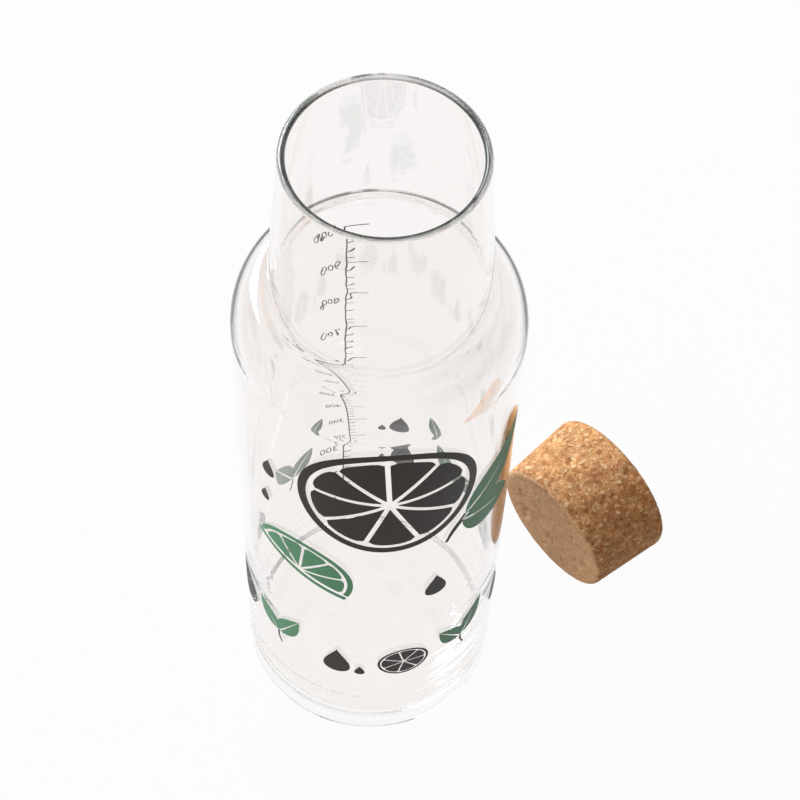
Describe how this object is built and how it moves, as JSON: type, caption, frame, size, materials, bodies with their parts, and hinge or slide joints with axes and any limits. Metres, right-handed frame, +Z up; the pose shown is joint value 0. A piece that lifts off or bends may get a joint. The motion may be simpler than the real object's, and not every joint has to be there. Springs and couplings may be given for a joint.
{
  "type": "water carafe",
  "caption": "Clear glass water carafe with a straight body, rounded shoulder and open tapered neck, and a tapered cork stopper lying beside it.",
  "frame": {"origin": "middle of the carafe's flat base, on the table", "axes": "+Z up along the carafe's axis, -Y towards the front with the main print, the stopper lies towards +X +Y"},
  "size_m": [0.1517, 0.1159, 0.282],
  "materials": {
    "clear_glass": "clear, fire polished",
    "pressed_cork": "pressed cork granules, sanded, unsealed",
    "black_enamel": "fired screen print, satin",
    "green_enamel": "fired screen print, satin"
  },
  "bodies": {
    "carafe": {"glass_carafe": "clear_glass"},
    "stopper": {"cork_stopper": "pressed_cork"}
  },
  "joints": [
    {"name": "stopper_lift", "type": "slide", "parent": "carafe", "child": "stopper", "axis": [0, 0, 1], "range_m": [0, 0.29]}
  ]
}
